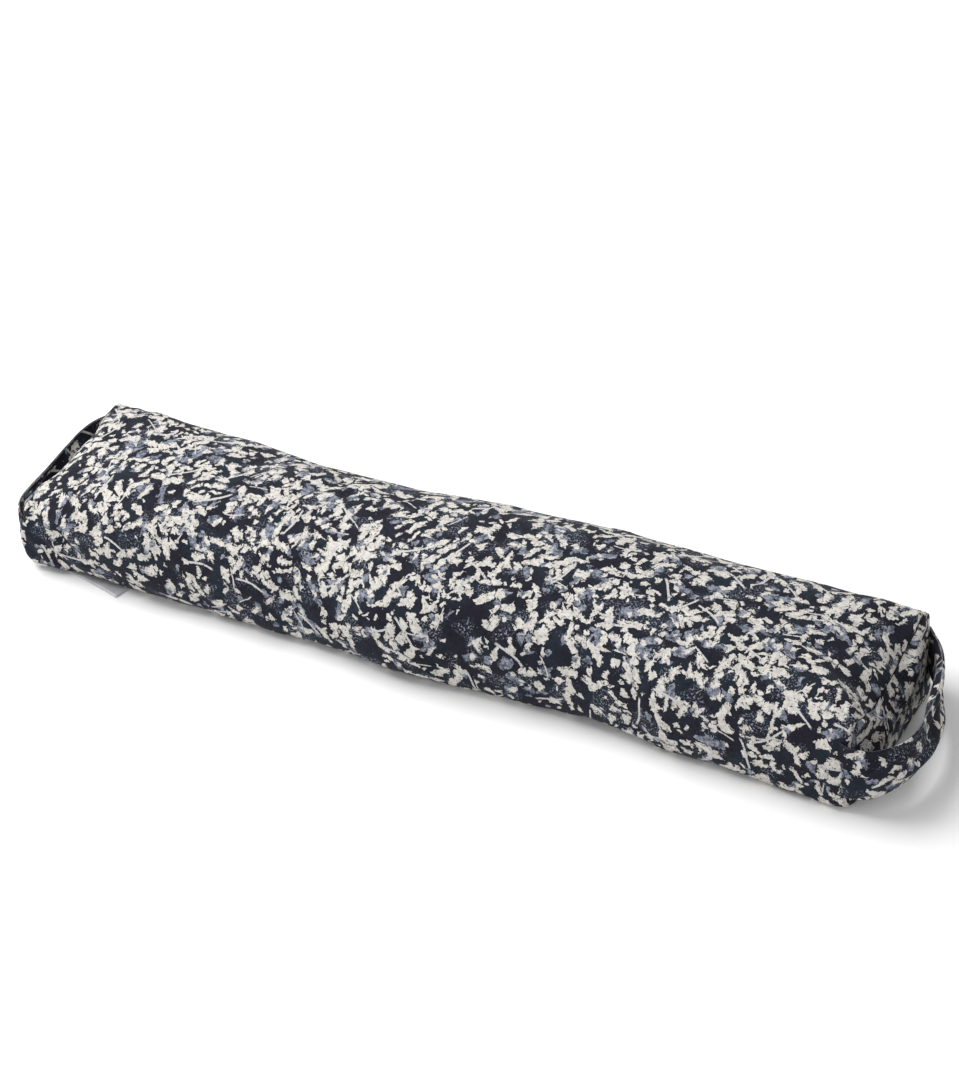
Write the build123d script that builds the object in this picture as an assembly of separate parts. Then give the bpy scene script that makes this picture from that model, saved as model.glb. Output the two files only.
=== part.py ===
from build123d import *
import os
from math import radians, sqrt, tan

# A slim, rectangular yoga and massage bolster: a printed cotton cover with a zip along
# the lower rear wall, a plain inner case, a batting wrap and three stacked cotton pads,
# with a sewn carrying loop at each end.
# Frame: millimetres, +Z up, origin at the centre of the underside, +X along the length,
# -Y the front, +Y the rear wall with the zip.

# ---- driving dimensions of the cushion -------------------------------------------------
LENGTH = 710.0            # from end seam to end seam
WIDTH = 154.0
MID_HEIGHT = 90.0         # at the crown, half way along
END_HEIGHT = 75.0         # at the crown, at each end seam
TAPER_POWER = 3.3         # the height stays full for most of the length, then falls
MID_CROWN_RADIUS = 120.0
END_CROWN_RADIUS = 400.0
MID_SHOULDER_RADIUS = 36.0
END_SHOULDER_RADIUS = 14.0
MID_BASE_RADIUS = 20.0
END_BASE_RADIUS = 8.0
LEAST_SHOULDER_RADIUS = 2.0
LEAST_BASE_RADIUS = 1.5
BASE_TRIM = 1.0           # the base is lofted this much too low, then cut flat
STATION_SHARES = (1.0, 0.9, 0.75, 0.5, 0.0)
END_BULGE = 5.0           # how far an end panel swells past its seam
END_BULGE_INSETS = ((0.55, 7.0), (1.0, 20.0))     # share of the bulge, inset of the section

# ---- layers, from the outside in -------------------------------------------------------
COVER_THICKNESS = 1.0
LINER_THICKNESS = 0.6
BATTING_THICKNESS = 10.0
LAYER_GAP = 0.4
PAD_GAP = 0.5
PAD_COUNT = 3
COVER_SEAM_INSET = 1.5    # the end panels' turned rims reach this far along the tube
SEAM_GAP = 0.2

# ---- zip -------------------------------------------------------------------------------
ZIP_LENGTH = 460.0
ZIP_HEIGHT = 30.0         # of its centre line above the floor
ZIP_SLOT = 7.6
COIL_GAP = 1.6
COIL_WIDTH = 2.5
COIL_DEPTH = 2.2
COIL_PROUD = 0.1
TAPE_WIDTH = 14.0
TAPE_THICKNESS = 0.6
STOP_LENGTH = 2.2
SLIDER_LENGTH = 11.0
SLIDER_WIDTH = 9.0
SLIDER_PLATE = 1.0
SLIDER_CLEARANCE = 0.35
SLIDER_POST = 0.8
SLIDER_SETBACK = 7.5      # from the closed end of the zip to the slider's centre
PULL_BAR_RADIUS = 0.8
PULL_EYE_RADIUS = 2.1
PULL_BAR_STANDOFF = 2.5   # from the slider's front plate to the bar's centre
PULL_EYE_HOLE = 1.1
PULL_EYE_WIDTH = 4.2
PULL_EYE_PLAY = 0.4       # between the eye and each foot of the bar
PULL_NECK = 3.0           # how far the narrow neck runs on past the eye
PULL_LEAF_GAP = 1.0       # from the eye to the leaf's upper end
PULL_CORNER_RADIUS = 1.5
BAR_FOOT = 1.2            # thickness of each foot that holds the bar
PULL_LENGTH = 22.0
PULL_WIDTH = 6.0
PULL_THICKNESS = 1.2
LINER_SIDE_INSET = 4.7    # the inner case keeps this far off the side walls, for the slider
STITCH_OFFSET = 3.0       # from the slot's edge to the row of thread
STITCH_SIZE = 0.4

# ---- carrying loops --------------------------------------------------------------------
STRAP_THICKNESS = 3.0
SEWN_END_WIDTH = 44.0
HINGE_OFFSET = END_BULGE  # the loops bend on a line this far outside the end seams
SWING_ANGLE = 32.0        # half angle of the relief at the loop's two roots
ROOT_Y = WIDTH / 2 + 0.5
# each loop in plan: (distance outside the end seam, distance along Y), front root first
RIGHT_LOOP_PLAN = ((0, -ROOT_Y), (25, 1 - ROOT_Y), (36, -60), (36, -15), (25, 35), (5.5, ROOT_Y))
RIGHT_LOOP_Z = (17.0, 57.0)
LEFT_LOOP_PLAN = ((0, -ROOT_Y), (20, 1 - ROOT_Y), (30, -60), (30, -10), (21, 40), (5.5, ROOT_Y))
LEFT_LOOP_Z = (12.0, 50.0)
LOOP_CORNER_RADIUS = 9.0

# ---- care label ------------------------------------------------------------------------
LABEL_LENGTH = 60.0
LABEL_WIDTH = 34.0
LABEL_THICKNESS = 0.4
LABEL_CENTRE = (-287.4, -57.1)
LABEL_TURN = -13.0        # degrees, so one corner shows past the front lower edge
LABEL_RECESS = 0.2        # the base cloth gives way to it by this much all round

PART_FOLDER = "parts"
half_length = LENGTH / 2
half_width = WIDTH / 2


def blend_share(x):
    """1 half way along the cushion and 0 at an end seam."""
    return 1 - min(1.0, abs(x) / half_length) ** TAPER_POWER


def between(end_value, mid_value, x):
    return end_value + (mid_value - end_value) * blend_share(x)


def section(x, inset, side_inset=0.0):
    """The closed outline across the cushion at x, moved inwards by inset all round.

    A flat base, two base corners, two upright sides, two shoulders and one crown arc.
    side_inset moves the two sides in by that much more.
    """
    height = between(END_HEIGHT, MID_HEIGHT, x) - inset
    crown = between(END_CROWN_RADIUS, MID_CROWN_RADIUS, x) - inset
    shoulder = max(between(END_SHOULDER_RADIUS, MID_SHOULDER_RADIUS, x) - inset, LEAST_SHOULDER_RADIUS)
    corner = max(between(END_BASE_RADIUS, MID_BASE_RADIUS, x) - inset, LEAST_BASE_RADIUS)
    side = half_width - inset - side_inset
    reach = side - shoulder
    shoulder_z = height - crown + sqrt((crown - shoulder) ** 2 - reach**2)
    # the point where shoulder and crown meet lies on the line through both centres
    share = crown / (crown - shoulder)
    base = inset - BASE_TRIM
    join_y = reach * share
    join_z = height - crown + (shoulder_z - height + crown) * share
    corner_diagonal = corner * (1 - 1 / sqrt(2))

    def at(y, z):
        return Vector(x, y, z)

    def shoulder_mid(sign):
        """A point half way round the shoulder, between its upright and its join."""
        dy = side - reach + join_y - reach
        dz = join_z - shoulder_z
        size = sqrt(dy**2 + dz**2)
        return at(sign * (reach + shoulder * dy / size), shoulder_z + shoulder * dz / size)

    edges = [
        Line(at(-(side - corner), base), at(side - corner, base)),
        ThreePointArc(
            at(side - corner, base),
            at(side - corner_diagonal, base + corner_diagonal),
            at(side, base + corner),
        ),
        Line(at(side, base + corner), at(side, shoulder_z)),
        ThreePointArc(at(side, shoulder_z), shoulder_mid(1), at(join_y, join_z)),
        ThreePointArc(at(join_y, join_z), at(0, height), at(-join_y, join_z)),
        ThreePointArc(at(-join_y, join_z), shoulder_mid(-1), at(-side, shoulder_z)),
        Line(at(-side, shoulder_z), at(-side, base + corner)),
        ThreePointArc(
            at(-side, base + corner),
            at(-(side - corner_diagonal), base + corner_diagonal),
            at(-(side - corner), base),
        ),
    ]
    return make_face(Curve() + edges)


def pillow(inset, side_inset=0.0):
    """The whole closed cushion, moved inwards by inset: a tube with two swollen ends."""
    seam = half_length - inset
    stations = [-share for share in STATION_SHARES]
    stations += [share for share in reversed(STATION_SHARES[:-1])]
    tube = loft([section(share * seam, inset, side_inset) for share in stations])
    for side in (-1, 1):
        faces = [section(side * seam, inset, side_inset)]
        for share, shrink in END_BULGE_INSETS:
            x = side * (seam + END_BULGE * share)
            faces.append(section(x, inset + shrink, side_inset))
        tube = tube + loft(faces, ruled=True)
    return tube & slab((-LENGTH, LENGTH), (-WIDTH, WIDTH), (inset, 2 * MID_HEIGHT))


def slab(x_range, y_range, z_range):
    """A box between three pairs of limits."""
    ranges = (x_range, y_range, z_range)
    centre = [(low + high) / 2 for low, high in ranges]
    size = [high - low for low, high in ranges]
    return Pos(*centre) * Box(*size)


def only_between(solid, low_x, high_x):
    """The stretch of a solid between two planes across X."""
    return solid & slab((low_x, high_x), (-WIDTH, WIDTH), (-MID_HEIGHT, 2 * MID_HEIGHT))


def split_case(outer, inner, seam_x):
    """A shell cut into its wrap and its two end panels, with their seams left open."""
    shell = outer - inner
    far = LENGTH
    wrap = only_between(shell, -seam_x + SEAM_GAP / 2, seam_x - SEAM_GAP / 2)
    right = only_between(shell, seam_x + SEAM_GAP / 2, far)
    left = only_between(shell, -far, -seam_x - SEAM_GAP / 2)
    return wrap, left, right


def loop_strap(side, plan, z_range):
    """One carrying loop: a band on edge, relieved at its roots so that it can swing."""
    points = [(side * (half_length + out), y) for out, y in plan]
    path = FilletPolyline(*points, radius=LOOP_CORNER_RADIUS)
    band = extrude(trace(path, STRAP_THICKNESS), z_range[1] - z_range[0])
    band = Pos(0, 0, z_range[0]) * band
    hinge_x = side * (half_length + HINGE_OFFSET + SEAM_GAP)
    middle_z = (z_range[0] + z_range[1]) / 2
    reach = z_range[1] - z_range[0]
    run = reach * tan(radians(SWING_ANGLE))
    relief = make_face(
        Plane.XZ
        * Polyline(
            (hinge_x, middle_z),
            (hinge_x + side * run, middle_z + reach),
            (hinge_x - side * reach, middle_z + reach),
            (hinge_x - side * reach, middle_z - reach),
            (hinge_x + side * run, middle_z - reach),
            close=True,
        )
    )
    return band - extrude(relief, WIDTH, both=True)


def sewn_ends(side, z_range):
    """The two flat ends of a loop, caught in the upright corner seams."""
    middle_z = (z_range[0] + z_range[1]) / 2
    inner = half_length + COVER_THICKNESS
    outer = half_length + HINGE_OFFSET - SEAM_GAP
    x_range = sorted((side * inner, side * outer))
    z_ends = (middle_z - SEWN_END_WIDTH / 2, middle_z + SEWN_END_WIDTH / 2)
    ends = []
    for front in (-1, 1):
        outside = front * (ROOT_Y + STRAP_THICKNESS / 2)
        inside = front * (ROOT_Y - STRAP_THICKNESS / 2)
        ends.append(slab(x_range, sorted((inside, outside)), z_ends))
    return ends


# ---- cover, inner case and filling -----------------------------------------------------
cover_outer = pillow(0)
cover_inner = pillow(COVER_THICKNESS)
cover_wrap, cover_left, cover_right = split_case(
    cover_outer, cover_inner, half_length - COVER_SEAM_INSET
)
slot_z = (ZIP_HEIGHT - ZIP_SLOT / 2, ZIP_HEIGHT + ZIP_SLOT / 2)
slot_x = ZIP_LENGTH / 2 + STOP_LENGTH
cover_wrap = cover_wrap - slab((-slot_x, slot_x), (0, WIDTH), slot_z)

liner_inset = COVER_THICKNESS + LAYER_GAP
side_inset = LINER_SIDE_INSET - liner_inset
batting_inset = liner_inset + LINER_THICKNESS + LAYER_GAP
liner_inner_inset = liner_inset + LINER_THICKNESS
liner_wrap, liner_left, liner_right = split_case(
    pillow(liner_inset, side_inset),
    pillow(liner_inner_inset, side_inset),
    half_length - liner_inset - COVER_SEAM_INSET,
)
core_inset = batting_inset + BATTING_THICKNESS
batting = pillow(batting_inset, side_inset) - pillow(core_inset, side_inset)
core = pillow(core_inset + LAYER_GAP, side_inset)
core_base = core_inset + LAYER_GAP
pad_height = (MID_HEIGHT - 2 * core_base) / PAD_COUNT
pads = []
for index in range(PAD_COUNT):
    is_lowest = index == 0
    is_highest = index == PAD_COUNT - 1
    low = 0 if is_lowest else core_base + index * pad_height + PAD_GAP / 2
    high = MID_HEIGHT if is_highest else core_base + (index + 1) * pad_height - PAD_GAP / 2
    pads.append(core & slab((-LENGTH, LENGTH), (-WIDTH, WIDTH), (low, high)))

# ---- zip along the lower rear wall -----------------------------------------------------
coil_front = half_width + COIL_PROUD
coil_back = coil_front - COIL_DEPTH
zip_x = (-ZIP_LENGTH / 2, ZIP_LENGTH / 2)
coils = []
tapes = []
top_stops = []
stitches = []
for up in (1, -1):
    coil_z = sorted((ZIP_HEIGHT + up * COIL_GAP / 2, ZIP_HEIGHT + up * (COIL_GAP / 2 + COIL_WIDTH)))
    tape_z = sorted((ZIP_HEIGHT + up * COIL_GAP / 2, ZIP_HEIGHT + up * (COIL_GAP / 2 + TAPE_WIDTH)))
    coils.append(slab(zip_x, (coil_back, coil_front), coil_z))
    tapes.append(slab((-slot_x, slot_x), (coil_back - TAPE_THICKNESS, coil_back), tape_z))
    top_stops.append(slab((zip_x[1], slot_x), (coil_back, coil_front), coil_z))
    stitch_z = ZIP_HEIGHT + up * (ZIP_SLOT / 2 + STITCH_OFFSET)
    row = (stitch_z - STITCH_SIZE / 2, stitch_z + STITCH_SIZE / 2)
    stitches.append(slab(zip_x, (half_width, half_width + STITCH_SIZE), row))
stop_z = (ZIP_HEIGHT - COIL_GAP / 2 - COIL_WIDTH, ZIP_HEIGHT + COIL_GAP / 2 + COIL_WIDTH)
bottom_stop = slab((-slot_x, zip_x[0]), (coil_back, coil_front), stop_z)

slider_x = zip_x[1] - SLIDER_SETBACK
slider_span = (slider_x - SLIDER_LENGTH / 2, slider_x + SLIDER_LENGTH / 2)
slider_z = (ZIP_HEIGHT - SLIDER_WIDTH / 2, ZIP_HEIGHT + SLIDER_WIDTH / 2)
front_plate_y = coil_front + SLIDER_CLEARANCE
back_plate_y = coil_back - TAPE_THICKNESS - SLIDER_CLEARANCE
bar_y = front_plate_y + SLIDER_PLATE + PULL_BAR_STANDOFF
post_half = SLIDER_POST / 2
slider = slab(slider_span, (front_plate_y, front_plate_y + SLIDER_PLATE), slider_z)
slider += slab(slider_span, (back_plate_y - SLIDER_PLATE, back_plate_y), slider_z)
slider += slab(
    (slider_x + SLIDER_LENGTH / 4, slider_span[1]),
    (back_plate_y - SLIDER_PLATE, front_plate_y + SLIDER_PLATE),
    (ZIP_HEIGHT - post_half, ZIP_HEIGHT + post_half),
)
bar_reach = PULL_EYE_WIDTH / 2 + PULL_EYE_PLAY
bar_axis = Plane(origin=(slider_x, bar_y, ZIP_HEIGHT), x_dir=(0, 1, 0), z_dir=(1, 0, 0))
slider += bar_axis * Cylinder(PULL_BAR_RADIUS, 2 * (bar_reach + BAR_FOOT))
for way in (-1, 1):
    foot_x = sorted((slider_x + way * bar_reach, slider_x + way * (bar_reach + BAR_FOOT)))
    foot_z = (ZIP_HEIGHT - PULL_BAR_RADIUS, ZIP_HEIGHT + PULL_BAR_RADIUS)
    slider += slab(foot_x, (front_plate_y, bar_y + PULL_BAR_RADIUS), foot_z)

pull = bar_axis * Cylinder(PULL_EYE_RADIUS, PULL_EYE_WIDTH)
leaf_y = (bar_y - PULL_THICKNESS / 2, bar_y + PULL_THICKNESS / 2)
leaf_low = ZIP_HEIGHT - PULL_LENGTH
leaf = slab(
    (slider_x - PULL_WIDTH / 2, slider_x + PULL_WIDTH / 2),
    leaf_y,
    (leaf_low, ZIP_HEIGHT - PULL_EYE_RADIUS - PULL_LEAF_GAP),
)
leaf = fillet(leaf.edges().filter_by(Axis.Y), PULL_CORNER_RADIUS)
neck = slab(
    (slider_x - PULL_EYE_WIDTH / 2, slider_x + PULL_EYE_WIDTH / 2),
    leaf_y,
    (ZIP_HEIGHT - PULL_EYE_RADIUS - PULL_NECK, ZIP_HEIGHT),
)
pull = pull + leaf + neck - bar_axis * Cylinder(PULL_EYE_HOLE, WIDTH)


# ---- care label, lying flat under the front lower edge ---------------------------------
def label_sheet(margin):
    """The label as a thin plate on the floor, grown by margin on every side but below."""
    thickness = LABEL_THICKNESS + margin
    plate = Box(LABEL_LENGTH + 2 * margin, LABEL_WIDTH + 2 * margin, thickness)
    return Pos(*LABEL_CENTRE, thickness / 2) * Rot(0, 0, LABEL_TURN) * plate


care_label = label_sheet(0)
cover_wrap = cover_wrap - label_sheet(LABEL_RECESS)

# ---- one file per piece ----------------------------------------------------------------
pieces = {
    "cover_wrap_panel": cover_wrap,
    "cover_end_panel_left": cover_left,
    "cover_end_panel_right": cover_right,
    "handle_strap_left": loop_strap(-1, LEFT_LOOP_PLAN, LEFT_LOOP_Z),
    "handle_strap_right": loop_strap(1, RIGHT_LOOP_PLAN, RIGHT_LOOP_Z),
    "handle_sewn_ends_left": Compound(sewn_ends(-1, LEFT_LOOP_Z)),
    "handle_sewn_ends_right": Compound(sewn_ends(1, RIGHT_LOOP_Z)),
    "zipper_tape_upper": tapes[0],
    "zipper_tape_lower": tapes[1],
    "zipper_coil_upper": coils[0],
    "zipper_coil_lower": coils[1],
    "zipper_top_stops": Compound(top_stops),
    "zipper_bottom_stop": bottom_stop,
    "zipper_stitching": Compound(stitches),
    "zipper_slider": slider,
    "zipper_pull": pull,
    "care_label": care_label,
    "liner_wrap": liner_wrap,
    "liner_end_left": liner_left,
    "liner_end_right": liner_right,
    "batting_wrap": batting,
    "fill_pad_lower": pads[0],
    "fill_pad_middle": pads[1],
    "fill_pad_upper": pads[2],
}
os.makedirs(PART_FOLDER, exist_ok=True)
for node, shape in pieces.items():
    export_step(shape, os.path.join(PART_FOLDER, node + ".step"))
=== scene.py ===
import math

import bpy
import numpy as np
from mathutils import Matrix, Vector
from mathutils.bvhtree import BVHTree


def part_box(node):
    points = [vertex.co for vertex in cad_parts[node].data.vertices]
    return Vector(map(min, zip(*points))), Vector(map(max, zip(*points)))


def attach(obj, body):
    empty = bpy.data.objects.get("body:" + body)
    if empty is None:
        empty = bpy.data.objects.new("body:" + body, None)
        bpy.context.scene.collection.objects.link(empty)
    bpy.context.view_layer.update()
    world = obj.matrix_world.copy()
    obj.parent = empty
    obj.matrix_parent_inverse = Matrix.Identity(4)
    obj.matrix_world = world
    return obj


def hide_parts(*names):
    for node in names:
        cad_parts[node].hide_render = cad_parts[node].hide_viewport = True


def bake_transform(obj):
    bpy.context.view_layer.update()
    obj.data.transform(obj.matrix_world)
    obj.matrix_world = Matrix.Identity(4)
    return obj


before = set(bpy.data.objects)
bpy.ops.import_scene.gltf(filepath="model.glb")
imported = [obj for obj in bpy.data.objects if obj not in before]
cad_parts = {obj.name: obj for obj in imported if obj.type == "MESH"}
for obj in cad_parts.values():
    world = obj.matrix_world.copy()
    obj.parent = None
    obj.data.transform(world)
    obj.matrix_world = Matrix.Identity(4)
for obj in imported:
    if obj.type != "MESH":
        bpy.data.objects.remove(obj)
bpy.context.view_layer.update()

# Slim printed bolster with a carrying loop at each end. Everything is in metres, in the
# frame of the CAD model: +X along the length, -Y the front, +Z up, floor at z = 0.

wrap_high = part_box("cover_wrap_panel")[1]
end_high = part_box("cover_end_panel_right")[1]
coil_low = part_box("zipper_coil_lower")[0]
coil_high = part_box("zipper_coil_upper")[1]
label_low, label_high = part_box("care_label")

END_BULGE = 0.005
FACE_X = end_high.x - END_BULGE  # where the flat of each end stands
HALF_WIDTH = wrap_high.y
MID_HEIGHT = wrap_high.z
END_HEIGHT = end_high.z
ZIP_Z = (coil_low.z + coil_high.z) / 2
ZIP_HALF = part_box("zipper_tape_upper")[1].x
ZIP_GAP = 0.0038  # from the zip's centre line to each folded edge of the cover
LABEL_SIZE = (0.060, 0.034)
LABEL_THICK = 0.0004
LABEL_TURN = math.radians(-13)
LABEL_LIFT = 0.0018  # how far its free edge stands off the floor
LABEL_TUCK = 0.006  # how far the foot of the cover draws in where the label comes out
LABEL_CENTRE = (label_low + label_high) / 2


# ---- small tools ----
def smooth(x):
    """0 below 0, 1 above 1, and an even turn between."""
    x = np.clip(x, 0, 1)
    return x * x * (3 - 2 * x)


def hump(x, centre, width):
    """A soft hump of height 1 at centre."""
    return np.exp(-(((x - centre) / width) ** 2))


def make_mesh(name, points, faces, corner_uvs=None):
    """A smooth-shaded mesh object, with one UV for each corner of each face."""
    mesh = bpy.data.meshes.new(name)
    mesh.from_pydata([tuple(p) for p in points], [], [tuple(f) for f in faces])
    if corner_uvs is not None:
        layer = mesh.uv_layers.new(name="cloth")
        layer.data.foreach_set("uv", np.asarray(corner_uvs, np.float32).ravel())
    mesh.polygons.foreach_set("use_smooth", [True] * len(mesh.polygons))
    obj = bpy.data.objects.new(name, mesh)
    bpy.context.scene.collection.objects.link(obj)
    return obj


def grid_faces(rows, columns, closed, start=0):
    """Quads of a rows by columns grid, and the (row, column) of each quad's corners."""
    faces = []
    corners = []
    for i in range(rows - 1):
        for j in range(columns if closed else columns - 1):
            ring = [(i, j), (i, j + 1), (i + 1, j + 1), (i + 1, j)]
            faces.append([start + a * columns + b % columns for a, b in ring])
            corners.append(ring)
    return faces, corners


def capped_grid(rows, columns):
    """The faces of a closed grid, with one more face over its first ring and its last."""
    first = list(range(columns))[::-1]
    last = [(rows - 1) * columns + j for j in range(columns)]
    return grid_faces(rows, columns, True)[0] + [first, last]


def tube(route, radius, sides=5):
    """Points and faces of a round tube along a route of points, open at its ends."""
    route = np.asarray(route, float)
    along = np.gradient(route, axis=0)
    along /= np.linalg.norm(along, axis=1, keepdims=True)
    spare = np.where(np.abs(along[:, 2:3]) < 0.9, [[0.0, 0.0, 1.0]], [[1.0, 0.0, 0.0]])
    across = np.cross(along, spare)
    across /= np.linalg.norm(across, axis=1, keepdims=True)
    up = np.cross(across, along)
    points = []
    for k in range(len(route)):
        for angle in np.linspace(0, 2 * math.pi, sides, endpoint=False):
            points.append(route[k] + radius * (across[k] * math.cos(angle) + up[k] * math.sin(angle)))
    return points, grid_faces(len(route), sides, True)[0]


def joined(name, parts):
    """One mesh object from several (points, faces) pairs."""
    points = []
    faces = []
    for some_points, some_faces in parts:
        start = len(points)
        points += [tuple(p) for p in some_points]
        faces += [[start + k for k in face] for face in some_faces]
    return make_mesh(name, points, faces)


def points_of(obj):
    points = np.zeros(len(obj.data.vertices) * 3)
    obj.data.vertices.foreach_get("co", points)
    return points.reshape(-1, 3)


def soft_noise(points, size, seed):
    """Smooth noise from about -1 to 1: a few sine waves in directions set by the seed."""
    waves = np.random.default_rng(seed)
    total = np.zeros(len(points))
    for _ in range(7):
        direction = waves.normal(size=3)
        direction /= np.linalg.norm(direction)
        pitch = size / waves.uniform(0.7, 1.5)
        total += np.sin(points @ direction * 2 * math.pi / pitch + waves.uniform(0, 2 * math.pi))
    return total / 3.2


def with_modifier(obj, kind, **settings):
    """The object with one modifier applied to its mesh."""
    modifier = obj.modifiers.new("shape", kind)
    for name, value in settings.items():
        setattr(modifier, name, value)
    graph = bpy.context.evaluated_depsgraph_get()
    mesh = bpy.data.meshes.new_from_object(obj.evaluated_get(graph))
    obj.modifiers.clear()
    obj.data = mesh
    return obj


def subdivided(obj):
    return with_modifier(obj, "SUBSURF", levels=1, render_levels=1)


def settle(obj, frames, pressure, slack, held):
    """Where a cloth simulation with air pressure inside moves each point of a closed skin.

    held is 0 to 1 for each point, and 1 keeps it in place. slack is how much longer the
    cloth is cut than the shape it covers.
    """
    before = points_of(obj)
    group = obj.vertex_groups.new(name="held")
    for index in np.nonzero(held > 0.01)[0]:
        group.add([int(index)], float(held[index]), "REPLACE")
    modifier = obj.modifiers.new("settle", "CLOTH")
    cloth = modifier.settings
    cloth.quality = 5
    cloth.mass = 0.25
    cloth.tension_stiffness = 20
    cloth.compression_stiffness = 10
    cloth.shear_stiffness = 6
    cloth.bending_stiffness = 0.3
    cloth.use_pressure = True
    cloth.uniform_pressure_force = pressure
    cloth.shrink_min = -slack
    cloth.effector_weights.gravity = 0
    cloth.vertex_group_mass = "held"
    modifier.collision_settings.use_collision = False
    scene = bpy.context.scene
    scene.frame_end = frames
    for number in range(1, frames + 1):
        scene.frame_set(number)
    after = points_of(obj.evaluated_get(bpy.context.evaluated_depsgraph_get()))
    obj.modifiers.clear()
    scene.frame_set(1)
    return (after - before) * (1 - held[:, None])


def behind_skin(points, depth, skin):
    """Draws points in where they come nearer than depth to a skin, or pass it."""
    kept = np.array(points, float)
    for index in np.ndindex(kept.shape[:-1]):
        spot = Vector(kept[index])
        near, normal, _, _ = skin.find_nearest(spot)
        if (near - spot).dot(normal) < depth:
            kept[index] = near - normal * depth
    return kept


def blurred(rings, passes):
    """A field over closed rings, averaged with its neighbours again and again."""
    for _ in range(passes):
        rings = (np.roll(rings, 1, axis=1) + 2 * rings + np.roll(rings, -1, axis=1)) / 4
        longer = np.concatenate([rings[:1], rings, rings[-1:]])
        rings = (longer[:-2] + 2 * rings + longer[2:]) / 4
    return rings


# ---- the cushion's outline ----
TAPER_POWER = 3.66
WIDEST_SHARE = 0.40  # height of the widest line, as a share of the height
TOP_ROUNDNESS = (6.2, 2.52)  # exponent of the upper half, at an end and half way
BASE_ROUNDNESS = (12.0, 5.6)  # the same for the lower half
SWAY_LENGTH = 0.225  # the filling's slow S-curve seen from above
SWAY = 0.005
SWAY_HALF, SWAY_FADE = 0.19, 0.05  # it holds up to here from the middle, then fades out
BELLY_X = 0.012  # the filling bulges to the front here
BELLY_SPREAD = 0.060
BELLY = 0.0050
CREST_X = 0.13  # a second, longer swelling of the top
CREST = 0.002
ROLL_TOP = {-1: 0.025, 1: 0.040}  # how far the top rolls over into each end, at its middle
ROLL_EAR = {-1: 0.016, 1: 0.0035}  # at the upper corners: soft in front, a sharp ear at the rear
ROLL_SIDE = 0.005  # at the front and the rear
ROLL_BASE = {-1: 0.018, 1: 0.005}
ROLL_SPAN = 0.044  # length of the stretch that holds the roll
END_LEAN = {-1: 0.003, 1: 0.0045}  # how far each end stands out at its foot
EAR_RISE = 0.005  # the left end is twisted: its rear ear up, its front ear down
EAR_DROP = 0.013
TWIST_LENGTH = 0.11
LEAN_LENGTH = 0.04
SEAM_TURN = math.radians(62)  # how far round the roll the end seam lies
END_MIDDLE = 0.38  # height of an end panel's middle, as a share of the end's height
END_HUB = 0.08  # size of its last ring, as a share of its seam
END_ROWS, COARSE_END_ROWS = 16, 8
STATIONS = 146
ROLL_ROWS = 12
CORNER_PASSES = 5  # how softly the inward direction turns round a corner
REAR_COLUMNS, SLOT_COLUMNS, REST_COLUMNS = 24, 2, 78
COLUMNS = REAR_COLUMNS + SLOT_COLUMNS + REST_COLUMNS
TOP_COLUMN = COLUMNS - REST_COLUMNS // 2 - 6
SHARES = np.linspace(0, 1, 161)
# the filling keeps the broad shape, so only the fine part of the cloth simulation is kept
FOLD_BLUR = 40
FOLD_GAIN = 1.6
FOLD_LIMIT = 0.0016
CORE_HALF = 0.30  # folds rise away from a core line of this half length
CORE_Z = 0.04
LOOP_ROOT_Z = 0.052  # folds fan out from here, where a loop is sewn in
LOOP_FOLD = 0.0026
FAN_FOLDS = 13
FAN_START, FAN_FADE = 0.022, 0.040
DENTS = ((0.12, 5, 0.0011), (0.055, 9, 0.0005))  # size, seed and depth of the uneven filling
SEAM_SINK = 0.0009
SEAM_PULL = 0.35  # share of it beside a seam, where it puckers
FLOOR_HOLD, SEAM_HOLD = 0.9, 0.6  # how firmly the simulated cloth is held there
FLOOR_GAP = 0.0001
LABEL_GAP = 0.0009  # over the label the base stays this much higher
FRONT_SHADE_TURN = 0.66  # share of the way round where the top turns down the front, and where the painted shade of the front wall begins


def height_at(share):
    return END_HEIGHT + (MID_HEIGHT - END_HEIGHT) * (1 - np.abs(share) ** TAPER_POWER)


def section_ring(share):
    """(y, z) across the cushion at that share of the half length, at fixed columns.

    The ring starts half way along the underside and goes rear, top, front. Two of its
    columns lie on the folded edges beside the zip.
    """
    full = 1 - abs(share) ** TAPER_POWER
    top_power = TOP_ROUNDNESS[0] + (TOP_ROUNDNESS[1] - TOP_ROUNDNESS[0]) * full
    base_power = BASE_ROUNDNESS[0] + (BASE_ROUNDNESS[1] - BASE_ROUNDNESS[0]) * full
    height = height_at(share)
    widest = WIDEST_SHARE * height
    angle = np.linspace(-math.pi / 2, 1.5 * math.pi, 1441)
    c = np.cos(angle)
    d = np.sin(angle)
    power = np.where(d >= 0, top_power, base_power)
    half = np.where(d >= 0, height - widest, widest)
    y = HALF_WIDTH * np.sign(c) * np.abs(c) ** (2 / power)
    z = widest + half * np.sign(d) * np.abs(d) ** (2 / power)
    run = np.concatenate([[0], np.cumsum(np.hypot(np.diff(y), np.diff(z)))])
    wall = (y > HALF_WIDTH * 0.9) & (run < run[-1] / 2)
    low = np.interp(ZIP_Z - ZIP_GAP, z[wall], run[wall])
    high = np.interp(ZIP_Z + ZIP_GAP, z[wall], run[wall])
    stops = np.concatenate([
        np.linspace(0, low, REAR_COLUMNS, endpoint=False),
        np.linspace(low, high, SLOT_COLUMNS, endpoint=False),
        np.linspace(high, run[-1], REST_COLUMNS, endpoint=False),
    ])
    return np.stack([np.interp(stops, run, y), np.interp(stops, run, z)], 1), stops


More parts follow.
